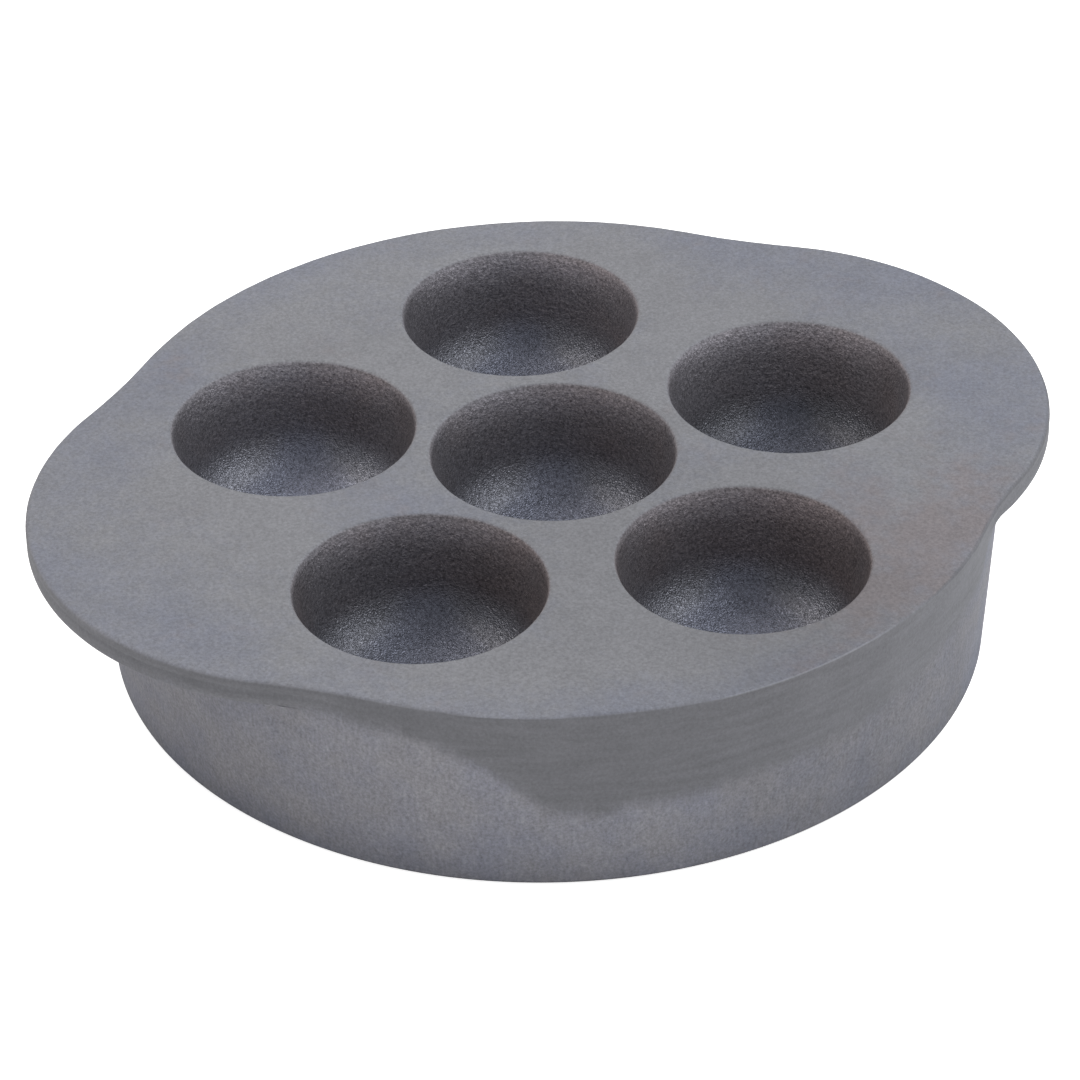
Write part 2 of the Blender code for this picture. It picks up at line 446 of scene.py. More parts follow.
@dataclass
class DishCasting:
    """The whole dish as one casting: plate, ears, wells, cups, skirt wall and foot."""

    height: float
    outline: EarOutline
    band: GroundBand

    plate_thickness: float = 4.0 * MM
    nominal_band: float = 13.4 * MM
    skirt_draft: float = math.radians(3.5)
    skirt_wall: float = 4.6 * MM
    root_fillet: float = 1.5 * MM
    ear_under_round: float = 1.0 * MM
    parting_groove: float = 0.22 * MM
    hollow_draft: float = math.radians(4.0)
    hollow_fillet: float = 2.0 * MM
    foot_round: float = 0.5 * MM

    well_radius: float = 17.5 * MM
    well_depth: float = 17.6 * MM
    well_corner: float = 7.0 * MM
    well_floor: float = 40.0 * MM
    well_lip: float = 0.75 * MM
    well_wall: float = 3.4 * MM
    well_web: float = 3.05 * MM
    cup_fillet: float = 2.0 * MM
    ring_wells: int = 5
    ring_turn: float = math.radians(1.9)
    ring_shift: tuple[float, float] = (0.8 * MM, -0.95 * MM)

    ring_segments: int = 480
    well_segments: int = 180
    cup_segments: int = 96
    net_size: float = 3.0 * MM
    net_rim: float = 0.35 * MM
    edge_wander: float = 0.06 * MM
    wander_length: float = 9.0 * MM
    nick_length: float = 2.6 * MM
    wave_height: float = 0.12 * MM
    wave_length: float = 18.0 * MM
    pebble_height: float = 0.06 * MM
    pebble_length: float = 1.6 * MM
    sharp_corner: float = math.radians(40.0)

    def underside(self) -> float:
        """Return the height of the plate's underside."""
        return self.height - self.plate_thickness

    def cone(self, height: float) -> float:
        """Return the cast skirt's outer radius at a height above the foot."""
        above = height - (self.height - self.nominal_band)
        return self.outline.plate_radius + math.tan(self.skirt_draft) * above

    def well_places(self) -> list[Vector]:
        """Return where the wells' axes stand, the middle one first."""
        middle = Vector((*self.ring_shift, 0.0))
        reach = 2.0 * self.well_radius + self.well_web
        turns = [self.ring_turn + math.tau * i / self.ring_wells for i in range(self.ring_wells)]
        return [middle] + [middle + reach * Vector((math.cos(a), math.sin(a), 0.0)) for a in turns]

    def copies_at_wells(self, piece: Piece) -> list[Piece]:
        """Copy a piece to every well and remove the first one.

        Args:
            piece: The piece to copy, with the middle of the well's mouth at its origin.

        Returns:
            The copies, each with its own mesh and its place in that mesh.
        """
        copies = []
        for place in self.well_places():
            copy = piece.copy()
            copy.data = piece.data.copy()
            copy.data.transform(Matrix.Translation(place + Vector((0.0, 0.0, self.height))))
            bpy.context.scene.collection.objects.link(copy)
            copies.append(copy)
        bpy.data.objects.remove(piece, do_unlink=True)
        return copies

    def edge_radius(self, bearing: float) -> float:
        """Return the plate's outer radius at a bearing, as the grinding left it."""
        wander = self.edge_wander * ripple(bearing, self.wander_length, self.outline.plate_radius, 1.7)
        on_circle = 1.0 - ease(self.outline.overhang(bearing) / self.root_fillet)
        return self.outline.radius(bearing) + self.band.swell.at(bearing) + wander * on_circle

    def wall_radius(self, bearing: float, height: float) -> float:
        """Return the wall's outer radius, which runs straight from the plate's edge to the band's end.

        Args:
            bearing: Where round the dish, in radians.
            height: How far above the foot.
        """
        band_end = self.height - self.band.depth.at(bearing)
        if height <= band_end:
            return self.cone(height)
        share = (height - band_end) / (self.height - band_end)
        return blend(self.cone(band_end), self.edge_radius(bearing), share)

    def top_round(self, bearing: float) -> float:
        """Return the rounding of the plate's top edge at a bearing, a little uneven all round."""
        nicks = ripple(bearing, self.nick_length, self.outline.plate_radius, 5.1)
        return self.band.rounding.at(bearing) + self.edge_wander * nicks

    def top_edge(self, bearing: float) -> Section:
        """Return the rounding from the flat top to the plate's side."""
        edge, size = self.edge_radius(bearing), self.top_round(bearing)
        return arc((edge - size, self.height - size), size, 90.0, 0.0, count=6)

    def side_and_root(self, bearing: float) -> Section:
        """Return the section from the plate's side to the cast wall below the plate.

        Under an ear it goes round the ear's lower edge, in along its underside and down through
        the fillet at the wall. Elsewhere it goes straight down the ground band.

        Args:
            bearing: Where round the dish, in radians.
        """
        edge, under = self.edge_radius(bearing), self.underside()
        wall_top = under - self.root_fillet
        room = edge - self.cone(wall_top)
        share = ease(room / (self.ear_under_round + self.root_fillet))
        low, fillet = self.ear_under_round * share, self.root_fillet * share

        around = arc((edge - low, under + low), low, 0.0, -90.0, count=4)
        inner = self.cone(wall_top) + fillet
        across = [(blend(edge - low, inner, 0.5), under)]
        into_wall = arc((inner, under - fillet), fillet, 90.0, 180.0, count=4)
        ear = around + across + into_wall

        heights = steps_between(under + self.ear_under_round, wall_top, len(ear) - 1)
        wall = [(self.wall_radius(bearing, z), z) for z in heights]
        return [(blend(a[0], b[0], share), blend(a[1], b[1], share)) for a, b in zip(wall, ear)]

    def side_line(self, bearing: float) -> Section:
        """Return the plate's upright side, with the shallow groove that runs round the ears.

        Args:
            bearing: Where round the dish, in radians.
        """
        edge = self.edge_radius(bearing)
        top = self.height - self.top_round(bearing)
        low = self.underside() + self.ear_under_round
        on_ear = ease(self.outline.overhang(bearing) / self.root_fillet)
        heights = steps_between(top, low, count=5)[1:-1]
        cuts = (0.6 * self.parting_groove, self.parting_groove, 0.0, 0.0)
        ear = [edge - cut for cut in cuts]
        wall = [self.wall_radius(bearing, z) for z in heights]
        return [(blend(w, e, on_ear), z) for w, e, z in zip(wall, ear, heights)]

    def outer_wall(self, bearing: float) -> Section:
        """Return the wall from under the plate down to the foot, bent where the band ends.

        Args:
            bearing: Where round the dish, in radians.
        """
        wall_top = self.underside() - self.root_fillet
        narrowest = 0.5 * MM
        band_end = min(self.height - self.band.depth.at(bearing), wall_top - narrowest)
        heights = steps_between(wall_top, band_end, count=6)[1:]
        heights += steps_between(band_end, self.foot_round, count=9)[1:]
        return [(self.wall_radius(bearing, z), z) for z in heights]

    def foot(self) -> Section:
        """Return the flat foot and its two rounded edges."""
        outer, size = self.cone(0.0), self.foot_round
        inner = outer - self.skirt_wall
        outside = arc((outer - size, size), size, 0.0, -90.0, count=3)
        inside = arc((inner + size, size), size, -90.0, -180.0, count=3)
        return outside[1:] + inside

    def inner_wall(self) -> Section:
        """Return the hollow's side from the foot up to the plate's underside."""
        foot_inside = self.cone(0.0) - self.skirt_wall
        slope = math.tan(self.hollow_draft)
        fillet_low = self.underside() - self.hollow_fillet
        top_radius = foot_inside - slope * fillet_low
        heights = steps_between(self.foot_round, fillet_low, count=8)[1:-1]
        wall = [(foot_inside - slope * z, z) for z in heights]
        centre = (top_radius - self.hollow_fillet, fillet_low)
        fillet = arc(centre, self.hollow_fillet, 0.0, 90.0, count=6)
        return wall + fillet + [(centre[0] - self.net_rim, self.underside())]

    def section(self, bearing: float) -> Section:
        """Return the casting's whole section, without wells and cups.

        Args:
            bearing: Where round the dish, in radians.
        """
        return (
            self.top_edge(bearing)
            + self.side_line(bearing)
            + self.side_and_root(bearing)
            + self.outer_wall(bearing)
            + self.foot()
            + self.inner_wall()
        )

    def cup_bowl(self) -> Bowl:
        """Return the shape of the outside of a cup."""
        return Bowl(
            self.well_radius + self.well_wall / math.cos(Bowl.draft),
            self.well_depth + self.well_wall,
            self.well_corner + self.well_wall,
            self.well_floor + self.well_wall,
        )

    def model_wells(self) -> list[Piece]:
        """Model what is taken out of the plate for each well, with the lip's rounding."""
        bowl = Bowl(self.well_radius, self.well_depth, self.well_corner, self.well_floor)
        size = self.well_lip
        lip = arc((self.well_radius + size, -size), size, 90.0, 180.0, count=6)
        above_plate = 2.0 * MM
        wire = bowl.wire([(lip[0][0], above_plate)] + lip, wall=10, corner=12, floor=14)
        return self.copies_at_wells(Pen("well", (0.0, above_plate)).turn(wire, self.well_segments))

    def model_cups(self) -> list[Piece]:
        """Model the cup that wraps each well below the plate, with a fillet at its root."""
        bowl = self.cup_bowl()
        root = -self.plate_thickness - self.cup_fillet
        centre = (bowl.wall_radius(root) + self.cup_fillet / math.cos(bowl.draft), root)
        # The fillet stops just short of level, so that it runs into the plate and not along it.
        short_of_level = 10.0
        fillet_end = 180.0 - math.degrees(bowl.draft)
        fillet = arc(centre, self.cup_fillet, 90.0 + short_of_level, fillet_end, count=6)
        inside = 0.3 * MM
        run = inside / math.tan(math.radians(short_of_level))
        flare = (fillet[0][0] + run, fillet[0][1] + inside)
        top = -0.5 * self.plate_thickness
        wire = bowl.wire([(flare[0], top), flare] + fillet, wall=4, corner=7, floor=6)
        return self.copies_at_wells(Pen("cup", (0.0, top)).turn(wire, self.cup_segments))

    def divide_plate(self, piece: Piece) -> None:
        """Give the flat top a rim along every edge and a net of small faces between the rims.

        Args:
            piece: The casting, cut and joined.
        """
        upright = 0.999
        level = self.height - 0.01 * MM
        reach = self.outline.ear_tip
        count = math.ceil(2.0 * reach / self.net_size)
        lines = steps_between(-reach, reach, count)[1:-1]
        with editing(piece, Pick.FACES):
            body = bmesh.from_edit_mesh(piece.data)
            for face in body.faces:
                face.select = face.normal.z > upright and face.calc_center_median().z > level
            bmesh.update_edit_mesh(piece.data)
            bpy.ops.mesh.inset(thickness=self.net_rim, depth=0.0, use_boundary=True, use_even_offset=True)
            bpy.ops.mesh.hide(unselected=True)
            for across in ((1.0, 0.0, 0.0), (0.0, 1.0, 0.0)):
                for line in lines:
                    bpy.ops.mesh.select_all(action="SELECT")
                    place = tuple(line * a for a in across)
                    bpy.ops.mesh.bisect(plane_co=place, plane_no=across, threshold=TOUCHING)
            bpy.ops.mesh.reveal(select=False)

    def foot_share(self, point: Vector) -> float:
        """Return 0 at the foot, which stays flat, and 1 above it."""
        return ease(point.z / (3.0 * self.foot_round))

    def well_share(self, point: Vector) -> float:
        """Return 1 inside the wells and on their lips and 0 elsewhere.

        Args:
            point: A point of the casting.
        """
        reach = min((point.xy - place.xy).length for place in self.well_places())
        wall = self.well_radius + 0.5 * self.well_wall
        inside = point.z > self.height - self.well_depth - 0.5 * self.well_wall and reach < wall
        return 1.0 - ease((reach - self.well_radius) / (2.0 * self.well_lip)) if inside else 0.0

    def roughen(self, piece: Piece) -> None:
        """Give the casting the faint waves of its sand mould, and its wells the grains of the core.

        Args:
            piece: The casting, with enough points all over to follow the waves.
        """
        self.displace(piece, "waves", self.wave_length, self.wave_height, self.foot_share)
        self.displace(piece, "pebbles", self.pebble_length, self.pebble_height, self.well_share)

    @staticmethod
    def displace(
        piece: Piece,
        name: str,
        size: float,
        height: float,
        share: Callable[[Vector], float],
    ) -> None:
        """Push a piece's points in and out along their normals by a cloudy pattern.

        Args:
            piece: The piece to shape.
            name: What the pattern is called.
            size: The size of its clouds.
            height: How far its highest points stand above its lowest.
            share: Tells how much of the pattern a point gets.
        """
        group = piece.vertex_groups.new(name=name)
        for point in piece.data.vertices:
            weight = share(point.co)
            if weight > 0.0:
                group.add([point.index], weight, "REPLACE")
        clouds = bpy.data.textures.new(name, "CLOUDS")
        clouds.noise_scale = size
        clouds.noise_depth = 2
        step = piece.modifiers.new(name, "DISPLACE")
        step.texture = clouds
        step.texture_coords = "LOCAL"
        step.direction = "NORMAL"
        step.mid_level = 0.5
        step.strength = height
        step.vertex_group = group.name
        apply_modifier(piece, step)
        piece.vertex_groups.clear()

    def smooth(self, piece: Piece) -> None:
        """Shade the casting smooth, with its large faces deciding how the light falls.

        Args:
            piece: The finished casting.
        """
        make_active(piece)
        bpy.ops.object.shade_smooth_by_angle(angle=self.sharp_corner)
        step = piece.modifiers.new("even_shading", "WEIGHTED_NORMAL")
        step.mode = "FACE_AREA"
        step.weight = 50
        step.keep_sharp = True
        apply_modifier(piece, step)

    def build(self) -> Piece:
        """Model the casting.

        Returns:
            The finished mesh, at its place in the frame.
        """
        loft = RingLoft("iron_casting", self.ring_segments)
        piece = loft.grow([self.section(bearing) for bearing in loft.bearings()])
        combine(piece, self.model_cups(), Joining.JOIN)
        combine(piece, self.model_wells(), Joining.CUT)
        self.divide_plate(piece)
        self.roughen(piece)
        self.smooth(piece)
        return piece


class Value:
    """One socket of a node tree, so that shader sums can be written as Python expressions."""

    def __init__(self, graph: "ShaderGraph", socket: bpy.types.NodeSocket) -> None:
        """Keep the socket and the graph that it belongs to."""
        self.graph = graph
        self.socket = socket

    def __add__(self, other: "Value | float") -> "Value":
        """Return the sum."""
        return self.graph.maths("ADD", self, other)

    __radd__ = __add__

    def __sub__(self, other: "Value | float") -> "Value":
        """Return the difference."""
        return self.graph.maths("SUBTRACT", self, other)

    def __rsub__(self, other: float) -> "Value":
        """Return the difference from a number on the left."""
        return self.graph.maths("SUBTRACT", other, self)

    def __mul__(self, other: "Value | float") -> "Value":
        """Return the product."""
        return self.graph.maths("MULTIPLY", self, other)

    __rmul__ = __mul__

    def __truediv__(self, other: "Value | float") -> "Value":
        """Return the quotient."""
        return self.graph.maths("DIVIDE", self, other)

    def rise(self, low: float, high: float) -> "Value":
        """Return 0 below the low mark and 1 above the high one, eased in between."""
        settings = {"interpolation_type": "SMOOTHSTEP"}
        marks = {"Value": self, "From Min": low, "From Max": high}
        return Value(self.graph, self.graph.node("ShaderNodeMapRange", settings, marks).outputs[0])

    def fall(self, low: float, high: float) -> "Value":
        """Return 1 below the low mark and 0 above the high one, eased in between."""
        return 1.0 - self.rise(low, high)

    def hump(self, start: float, full: float, fading: float, end: float) -> "Value":
        """Return 1 between the two inner marks and 0 past the outer ones, eased in between."""
        return self.rise(start, full) * self.fall(fading, end)


class ShaderGraph:
    """The nodes of a material or of the world, from the pattern space to the output."""

    def __init__(self, owner: bpy.types.Material | bpy.types.World) -> None:
        """Start with no nodes.

        Args:
            owner: What the nodes belong to.
        """
        owner.use_nodes = True
        self.owner = owner
        self.tree = owner.node_tree
        self.tree.nodes.clear()

    @cached_property
    def point(self) -> Value:
        """The pattern space: the place on the piece, in millimetres."""
        place = self.node("ShaderNodeTexCoord").outputs["Object"]
        return self.scaled(place, 1.0 / MM)

    def node(
        self,
        kind: str,
        settings: dict[str, object] | None = None,
        sockets: dict[str | int, object] | None = None,
    ) -> bpy.types.Node:
        """Add one node.

        Args:
            kind: The node's type.
            settings: The node's own settings. A ramp's "stops" are (position, colour) pairs.
            sockets: A number, colour, socket or Value for each input that is set.

        Returns:
            The node.
        """
        made = self.tree.nodes.new(kind)
        for key, setting in (settings or {}).items():
            if key == "stops":
                self.set_stops(made.color_ramp, setting)
            else:
                setattr(made, key, setting)
        for key, given in (sockets or {}).items():
            given = given.socket if isinstance(given, Value) else given
            if isinstance(given, bpy.types.NodeSocket):
                self.tree.links.new(given, made.inputs[key])
            else:
                made.inputs[key].default_value = given
        return made

    @staticmethod
    def set_stops(ramp: bpy.types.ColorRamp, stops: Sequence[tuple[float, Sequence[float]]]) -> None:
        """Give a ramp its stops.

        Args:
            ramp: The ramp.
            stops: Position and colour of each stop, in rising order.
        """
        ramp.interpolation = "LINEAR"
        while len(ramp.elements) < len(stops):
            ramp.elements.new(1.0)
        for element, (position, colour) in zip(ramp.elements, stops):
            element.position = position
            element.color = (*colour, 1.0)

    def maths(self, operation: str, *terms: "Value | float") -> Value:
        """Return the result of a Math node."""
        made = self.node("ShaderNodeMath", {"operation": operation}, dict(enumerate(terms)))
        return Value(self, made.outputs[0])

    def length(self, along: Value, across: Value) -> Value:
        """Return the length of a way that goes so far along and so far across."""
        return self.maths("SQRT", along * along + across * across)

    def axes(self, vector: Value) -> tuple[Value, Value, Value]:
        """Return a vector's three parts."""
        made = self.node("ShaderNodeSeparateXYZ", sockets={0: vector})
        return tuple(Value(self, made.outputs[i]) for i in range(3))

    def mottle(
        self,
        size: float | tuple[float, float, float],
        detail: float = 2.0,
        roughness: float = 0.5,
        shift: float = 0.0,
    ) -> Value:
        """Return noise from about -1 to 1.

        Args:
            size: The size of its patches in millimetres, or one size for each axis.
            detail: How many finer layers it has.
            roughness: How strong those are.
            shift: Tells one pattern from another of the same size.
        """
        sizes = size if isinstance(size, tuple) else (size, size, size)
        divisor = {0: self.point, 1: sizes}
        space = self.node("ShaderNodeVectorMath", {"operation": "DIVIDE"}, divisor).outputs[0]
        sockets = {"Vector": space, "W": shift, "Scale": 1.0, "Detail": detail, "Roughness": roughness}
        made = self.node("ShaderNodeTexNoise", {"noise_dimensions": "4D"}, sockets)
        return Value(self, made.outputs[0]) * 2.0 - 1.0

    def mixed(self, share: Value, first: Value | Colour, second: Value | Colour) -> Value:
        """Return a colour that goes from the first to the second.

        Args:
            share: 0 where the first shows and 1 where the second does.
            first: The colour that it starts from.
            second: The colour that it goes to.
        """
        ends = [(*end, 1.0) if isinstance(end, tuple) else end for end in (first, second)]
        # A Mix node's sockets 6 and 7 are its two colours, and its output 2 is what they make.
        sockets = {0: share, 6: ends[0], 7: ends[1]}
        made = self.node("ShaderNodeMix", {"data_type": "RGBA", "clamp_factor": True}, sockets)
        return Value(self, made.outputs[2])

    def scaled(self, vector: Value | Colour | bpy.types.NodeSocket, factor: Value | float) -> Value:
        """Return a place or a colour times a factor."""
        made = self.node("ShaderNodeVectorMath", {"operation": "SCALE"}, {0: vector, "Scale": factor})
        return Value(self, made.outputs[0])

    def seen_otherwise(self, plain: bpy.types.Node, seen: bpy.types.Node) -> bpy.types.Node:
        """Return a shader that lights the dish as one thing and shows the camera another.

        Args:
            plain: The shader that lights the dish.
            seen: The shader that the camera sees.
        """
        ray = self.node("ShaderNodeLightPath").outputs["Is Camera Ray"]
        ends = {0: ray, 1: plain.outputs[0], 2: seen.outputs[0]}
        return self.node("ShaderNodeMixShader", sockets=ends)

    def finish(self, shader: bpy.types.Node) -> bpy.types.Material | bpy.types.World:
        """Lead a shader to the output and return what the nodes belong to."""
        kind = "World" if isinstance(self.owner, bpy.types.World) else "Material"
        self.node(f"ShaderNodeOutput{kind}", sockets={"Surface": shader.outputs[0]})
        return self.owner


class IronGraph(ShaderGraph):
    """The iron's nodes, with a zone for each of the casting's surfaces: 1 on it and 0 elsewhere.

    Places and sizes are millimetres. The front is a step along X and Y.
    """

    front: tuple[float, float] = (-0.39, -0.92)

    def __init__(self, dish: DishCasting, well_tones: Sequence[float]) -> None:
        """Start the material and work its zones out from the casting's own sizes.

        Args:
            dish: The casting that wears it.
            well_tones: How light each well is, the middle one first.
        """
        super().__init__(bpy.data.materials.new("bare_cast_iron"))
        self.x, self.y, above_foot = self.axes(self.point)
        self.below_top = dish.height / MM - above_foot
        normal = self.node("ShaderNodeNewGeometry").outputs["Normal"]
        right, back, upward = self.axes(Value(self, normal))
        inside_edge = dish.outline.plate_radius / MM - self.length(self.x, self.y)

        near_top = self.below_top.fall(1.5, 2.5)
        self.top = upward.rise(0.50, 0.96) * near_top
        self.rounding = near_top * inside_edge.fall(1.7, 3.2) * upward.hump(0.1, 0.4, 0.8, 0.98)
        on_wall = inside_edge.fall(4.2, 5.2) * (1.0 - self.top)
        self.band = self.ground_share(dish) * on_wall
        self.cast_wall = on_wall * (1.0 - self.band)

        reach, self.tone = self.nearest_well(dish, well_tones)
        over_well = (reach - dish.well_radius / MM).fall(0.6, 1.0)
        self.well = over_well * upward.rise(-0.05, 0.05) * (1.0 - self.top)
        self.deep = self.below_top.rise(9.0, 14.0)
        self.leftward, self.rightward = right.fall(-0.9, -0.1), right.rise(0.1, 0.9)
        # Faces that turn to the front, and faces tilted sideways from it; the painted light at the wells'
        # mouths and the painted reflection tint on their floors follow them.
        self.frontward = (self.front[0] * right + self.front[1] * back).rise(0.2, 0.9)
        sideways = self.front[0] * back - self.front[1] * right
        self.tilted = self.maths("ABSOLUTE", sideways).rise(0.08, 0.34)

    def ground_share(self, dish: DishCasting) -> Value:
        """Return 1 above the lower edge of the ground band and 0 below it.

        Args:
            dish: The casting, whose band is followed.
        """
        depths = dish.band.depth.stops
        deepest = max(depth for _, depth in depths)
        turn = self.maths("ARCTAN2", self.y, self.x) / math.tau + 0.5
        stops = [(bearing / 360.0 + 0.5, (depth / deepest,) * 3) for bearing, depth in depths]
        ramp = self.node("ShaderNodeValToRGB", {"stops": stops}, {0: turn})
        depth = Value(self, ramp.outputs[0]) * deepest
        ragged = 1.4 * self.mottle(3.0, detail=3.0, shift=7.0)
        ragged = ragged + 1.2 * self.mottle((0.5, 0.5, 2.0), shift=8.0)
        return (depth - self.below_top + ragged).rise(-1.9, 1.6)

    def nearest_well(self, dish: DishCasting, well_tones: Sequence[float]) -> tuple[Value, Value]:
        """Return the distance to the nearest well's axis, and that well's tone.

        Args:
            dish: The casting, whose wells are measured from.
            well_tones: How light each well is, the middle one first.
        """
        places = [place / MM for place in dish.well_places()]
        reaches = [self.length(self.x - place.x, self.y - place.y) for place in places]
        nearest, tone = reaches[0], well_tones[0]
        for reach, well_tone in zip(reaches[1:], well_tones[1:]):
            nearer = self.maths("LESS_THAN", reach, nearest)
            tone = tone + nearer * (well_tone - tone)
            nearest = self.maths("MINIMUM", nearest, reach)
        return nearest, tone


@dataclass(frozen=True)
class CastIronFinish:
    """Bare grey iron: matte and grained, pale where the plate is flat, darker where it is ground.

    Places and sizes in its patterns are millimetres.
    """

    plate: Colour = (0.220, 0.223, 0.242)
    blue: Colour = (0.192, 0.202, 0.246)
    brown: Colour = (0.212, 0.191, 0.198)
    ground: Colour = (0.201, 0.203, 0.221)
    wall: Colour = (0.312, 0.309, 0.336)
    wall_blue: Colour = (0.280, 0.287, 0.340)
    well_side: Colour = (0.190, 0.183, 0.202)
    # Warm end of the wells' sides: painted warm light where they face left, patina elsewhere.
    well_warm_light_and_patina: Colour = (0.190, 0.162, 0.166)
    well_floor: Colour = (0.158, 0.167, 0.213)
    # Painted reflection tint on the wells' floors where they tilt sideways, where the softboxes' sheen
    # falls.
    well_reflection_tint: Colour = (0.163, 0.166, 0.192)
    brown_patch: tuple[float, float] = (35.0, -45.0)
    patch_slant: float = math.radians(32.0)
    # Middles of the painted shade on the plate's front and at its front-right edge.
    front_shade_spot: tuple[float, float] = (6.0, -36.0)
    edge_shade_spot: tuple[float, float] = (18.0, -64.0)
    well_tones: tuple[float, ...] = (1.08, 0.65, 1.04, 1.30, 0.95, 1.02)
    metallic: tuple[float, float] = (0.35, 0.60)
    roughness: tuple[float, float] = (0.72, 0.41)

    def material(self, dish: DishCasting) -> bpy.types.Material:
        """Return the iron's material.

        Args:
            dish: The casting that wears it, whose places the patterns follow.
        """
        iron = IronGraph(dish, self.well_tones)
        grain = iron.mottle(0.5, detail=2.0, roughness=0.7, shift=4.0)
        gloss = iron.well * iron.below_top.rise(0.4, 1.4)
        rough = gloss * (self.roughness[1] - self.roughness[0]) + self.roughness[0] + 0.2 * grain
        metallic = gloss * (self.metallic[1] - self.metallic[0]) + self.metallic[0]
        height = self.relief(iron)
        bump = iron.node("ShaderNodeBump", sockets={"Strength": 1.0, "Distance": MM, "Height": height})
        shader = iron.node(
            "ShaderNodeBsdfPrincipled",
            sockets={
                "Base Color": self.colour(iron),
                "Metallic": metallic,
                "Roughness": rough,
                "Normal": bump.outputs[0],
            },
        )
        return iron.finish(shader)

    def colour(self, iron: IronGraph) -> Value:
        """Return the iron's colour all over.

        Args:
            iron: The material's nodes.
        """
        side = iron.mixed(iron.band, self.wall_colour(iron), self.ground)
        outside = iron.mixed(iron.top, side, self.plate_colour(iron))
        surface = iron.mixed(iron.well, outside, self.well_colour(iron))
        return iron.scaled(surface, 1.0 + self.marks(iron))

    @staticmethod
    def blots(iron: IronGraph) -> Value:
        """Return the small blue blots that the plate and the wall share."""
        return iron.mottle(1.5, detail=2.0, shift=17.0)

    def plate_colour(self, iron: IronGraph) -> Value:
        """Return the flat top's colour: grey with blue clouds and a brown patch, with painted shade on
        the front and at the front-right edge and painted light towards the back.

        Args:
            iron: The material's nodes.
        """
        outskirts = iron.length(iron.x, iron.y).rise(52.0, 64.0)
        blueness = 0.1 + 0.4 * outskirts + 1.4 * iron.mottle(22.0, shift=1.0)
        blueness = blueness + 0.45 * self.blots(iron)
        clouded = iron.mixed(blueness, self.plate, self.blue)
        # The brown patch is a slanting oval, half as wide as it is long.
        rightward, backward = iron.x - self.brown_patch[0], iron.y - self.brown_patch[1]
        level, steep = math.cos(self.patch_slant), math.sin(self.patch_slant)
        along, across = level * rightward + steep * backward, level * backward - steep * rightward
        near_patch = iron.length(along, 2.0 * across).fall(6.0, 40.0)
        spots = iron.mottle(11.0, detail=3.0, shift=2.0) + 0.6 * iron.mottle(2.4, detail=2.0, shift=18.0)
        stain = (spots + near_patch).rise(0.15, 1.1)
        stained = iron.mixed(0.85 * stain, clouded, self.brown)
        # Painted shade darkens the plate round these two spots, and painted light makes it a little
        # lighter towards the back.
        from_front = iron.length(iron.x - self.front_shade_spot[0], 0.8 * (iron.y - self.front_shade_spot[1]))
        from_edge = iron.length(iron.x - self.edge_shade_spot[0], iron.y - self.edge_shade_spot[1])
        painted_plate_shade = 0.10 * from_front.fall(8.0, 44.0) + 0.09 * from_edge.fall(6.0, 30.0)
        return iron.scaled(stained, 0.985 + 0.05 * iron.y.rise(36.0, 60.0) - painted_plate_shade)

    def wall_colour(self, iron: IronGraph) -> Value:
        """Return the cast wall's colour: pale with blue clouds, with painted shade that darkens it
        towards the right, at the far left and towards the foot.

        Args:
            iron: The material's nodes.
        """
        right_end = iron.x.rise(38.0, 54.0)
        blueness = 0.3 + 1.5 * iron.mottle(9.0, shift=14.0) + 0.5 * self.blots(iron)
        blueness = blueness + 0.3 * iron.below_top.rise(21.0, 27.0) + 0.35 * right_end
        clean = iron.mixed(blueness, self.wall, self.wall_blue)
        # Painted shade: darker from the middle to the right, at the far left and towards the foot, and
        # less dark again at the right end.
        painted_wall_shade = 0.34 * iron.x.rise(5.0, 50.0) + 0.17 * iron.x.hump(-12.0, 4.0, 18.0, 40.0)
        painted_wall_shade = painted_wall_shade + 0.10 * iron.x.fall(-62.0, -34.0) - 0.17 * right_end
        painted_wall_shade = painted_wall_shade + 0.06 * iron.below_top.rise(21.0, 28.0)
        return iron.scaled(clean, 1.0 - painted_wall_shade)

    def well_colour(self, iron: IronGraph) -> Value:
        """Return the wells' colour: brownish sides with painted warm light, painted light below the mouth
        and painted shade in the corner, and a bluish floor with a painted reflection tint.

        Args:
            iron: The material's nodes.
        """
        # Partly painted warm light: the sides that face left are warmer. The rest is patina, stronger in
        # the front wells and patchy.
        warm_light_and_patina = 0.55 * iron.leftward + 0.40 * iron.y.fall(-26.0, 0.0)
        warm_light_and_patina = warm_light_and_patina + 0.7 * iron.mottle(9.0, detail=3.0, shift=15.0)
        side = iron.mixed(warm_light_and_patina, self.well_side, self.well_warm_light_and_patina)
        at_back_right = iron.x.rise(16.0, 24.0) * iron.y.rise(-20.0, -14.0)
        # Paler in the back wells and at the back right; the sides that face right are darkened as painted
        # shade.
        paler_with_painted_shade = 0.05 * iron.y.rise(8.0, 36.0) + 0.20 * at_back_right - 0.10 * iron.rightward
        side = iron.scaled(side, 1.0 + paler_with_painted_shade)
        # Painted reflection: the floor's parts that tilt sideways are tinted less blue than its middle.
        floor = iron.mixed(iron.tilted, self.well_floor, self.well_reflection_tint)
        inside = iron.mixed(iron.deep, side, iron.scaled(floor, iron.tone))
        # Painted shade: the wells are a little darker in the corner between side and floor.
        corner = iron.below_top.hump(9.5, 12.5, 14.2, 16.2)
        # Painted light: the sides that face the front are lighter just below the mouth.
        mouth = iron.below_top.hump(0.1, 0.9, 1.0, 6.4) * iron.frontward
        return iron.scaled(iron.scaled(inside, 1.0 - 0.10 * corner), 1.0 + 0.9 * mouth)

